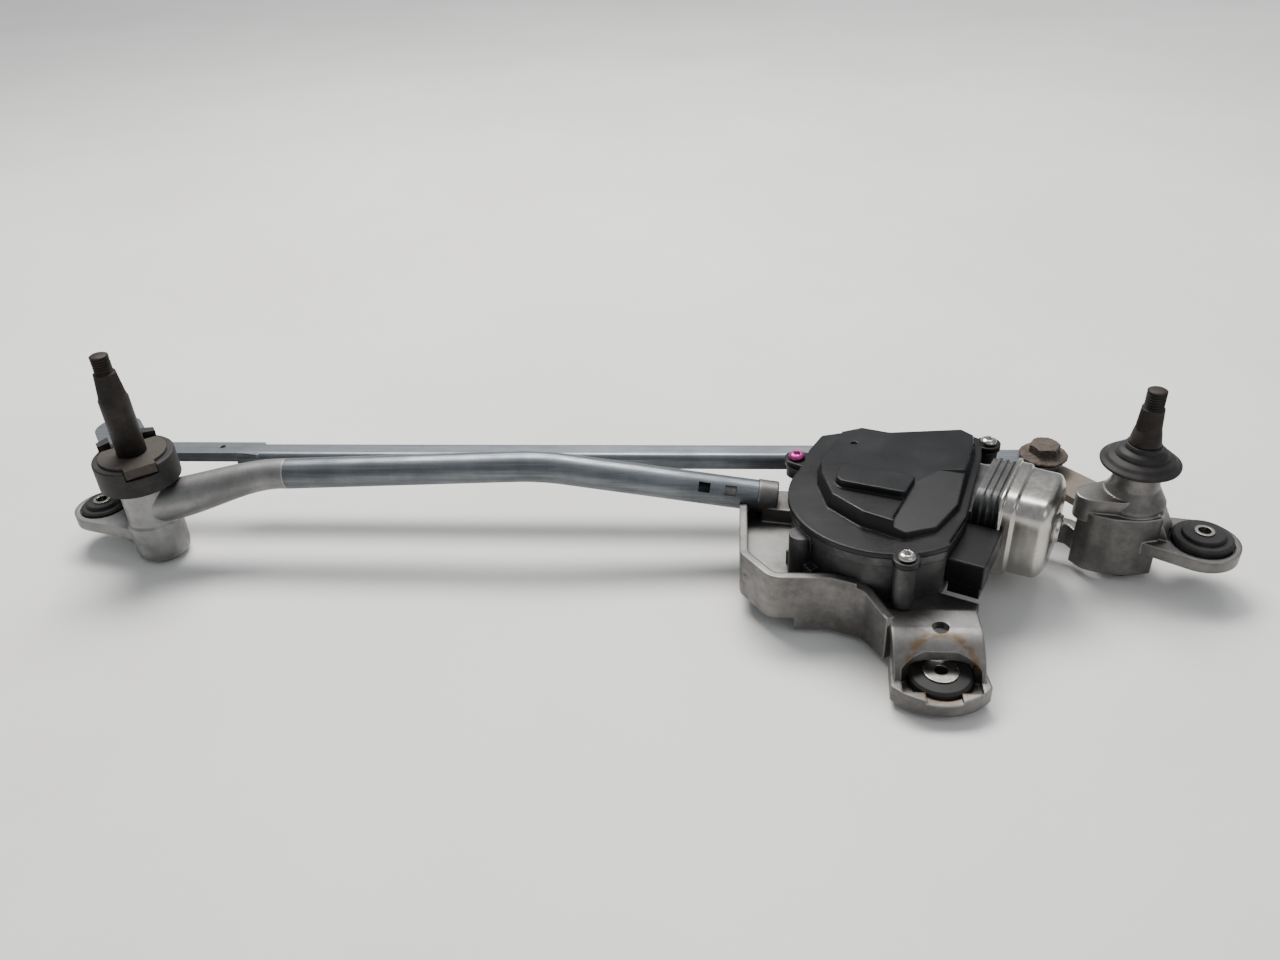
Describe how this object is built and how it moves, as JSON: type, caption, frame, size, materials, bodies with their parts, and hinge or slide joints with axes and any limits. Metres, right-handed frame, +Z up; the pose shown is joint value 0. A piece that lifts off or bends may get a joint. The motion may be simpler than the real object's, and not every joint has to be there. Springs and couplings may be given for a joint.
{
  "type": "windshield wiper drive linkage",
  "caption": "Front wiper drive: geared motor on a cast bracket and tube frame, with rods, levers and upright tapered spindles that swing the wiper arms.",
  "frame": {"origin": "on the plane the assembly rests on, below the middle of its overall box", "axes": "+X from the left spindle to the right one, +Z up along the spindles, +Y towards the long rod"},
  "size_m": [0.6682, 0.1872, 0.133],
  "materials": {
    "cast_pale": "bead-blasted die casting",
    "cast_grey": "as-cast, mottled grey",
    "cast_dark": "as-cast, darker",
    "zinc_steel": "satin blue-grey zinc plate",
    "bright_steel": "bright drawn steel",
    "black_oxide": "black-brown oxide",
    "rusty_steel": "rusted steel",
    "tan_steel": "light surface rust",
    "bronze": "sintered bronze",
    "rubber": "matte, dusty",
    "black_plastic": "moulded, semi-gloss",
    "brown_plastic": "moulded phenolic",
    "green_board": "lacquered glass-fibre laminate",
    "ivory_nylon": "moulded nylon",
    "ferrite": "sintered ferrite",
    "carbon": "pressed carbon",
    "copper": "copper"
  },
  "bodies": {
    "frame": {"left_pivot_housing": "cast_pale", "left_shaft_bushes": "bronze", "left_end_plug": "black_plastic", "left_mount_grommet": "rubber", "left_mount_sleeve": "bright_steel", "frame_tube": "zinc_steel", "motor_bracket": "cast_grey", "right_shaft_bushes": "bronze", "right_mount_grommet": "rubber", "right_mount_sleeve": "bright_steel", "foot_grommet": "rubber", "foot_sleeve": "bright_steel", "gear_housing": "cast_dark", "output_shaft_bush": "bronze", "motor_mount_screws": "bright_steel", "gear_cover": "black_plastic", "cover_gasket": "rubber", "cover_screws": "bright_steel", "circuit_board": "green_board", "connector_housing": "black_plastic", "connector_terminals": "copper", "motor_can": "bright_steel", "field_magnets": "ferrite", "brush_holder": "brown_plastic", "carbon_brushes": "carbon", "brush_springs": "bright_steel", "front_bearing": "bronze", "rear_bearing": "bronze"},
    "armature": {"armature_shaft": "bright_steel", "armature_core": "ferrite", "armature_windings": "copper", "commutator": "copper"},
    "crank": {"worm_wheel": "ivory_nylon", "output_shaft": "bright_steel", "motor_crank": "zinc_steel", "crank_nut": "bright_steel", "crank_ball_stud": "bright_steel"},
    "short_link": {"short_link_bar": "zinc_steel", "short_link_cups": "black_plastic"},
    "right_pivot": {"right_shaft": "black_oxide", "right_lever": "tan_steel", "right_ball_stud": "bright_steel", "right_rod_pin": "rusty_steel", "right_thrust_washer": "bright_steel", "right_boot": "rubber"},
    "long_rod": {"long_rod": "zinc_steel", "long_rod_cup": "black_plastic", "long_rod_bush": "black_plastic"},
    "left_pivot": {"left_shaft": "black_oxide", "left_lever": "zinc_steel", "left_ball_stud": "bright_steel", "left_cap": "rubber", "left_lock_plate": "tan_steel", "left_thrust_washer": "bright_steel"}
  },
  "joints": [
    {"name": "motor_output", "type": "hinge", "parent": "frame", "child": "crank", "pos_m": [0.1446, 0.0124, 0.015], "axis": [0, 0, -1], "range_deg": [0, 80]},
    {"name": "right_spindle_turn", "type": "hinge", "parent": "frame", "child": "right_pivot", "pos_m": [0.2798, 0.0334, 0.03], "axis": [0, 0, -1], "range_deg": [0, 80]},
    {"name": "left_spindle_turn", "type": "hinge", "parent": "frame", "child": "left_pivot", "pos_m": [-0.2776, 0.0334, 0.056], "axis": [0, 0, -1], "range_deg": [0, 80]},
    {"name": "short_link_swivel", "type": "hinge", "parent": "crank", "child": "short_link", "pos_m": [0.10939, 0.05912, 0.0095], "axis": [0, 0, -1], "range_deg": [-80, 0]},
    {"name": "long_rod_swivel", "type": "hinge", "parent": "right_pivot", "child": "long_rod", "pos_m": [0.24459, 0.08012, 0.039], "axis": [0, 0, -1], "range_deg": [-80, 0]},
    {"name": "armature_spin", "type": "hinge", "parent": "frame", "child": "armature", "pos_m": [0.16041, 0.0463, 0.0395], "axis": [0.9063, -0.4226, 0], "range_deg": [0, 3840]}
  ],
  "couplings": [
    {"joint": "right_spindle_turn", "follows": "motor_output", "ratio": 1},
    {"joint": "left_spindle_turn", "follows": "motor_output", "ratio": 1},
    {"joint": "short_link_swivel", "follows": "motor_output", "ratio": -1},
    {"joint": "long_rod_swivel", "follows": "motor_output", "ratio": -1},
    {"joint": "armature_spin", "follows": "motor_output", "ratio": 48}
  ]
}
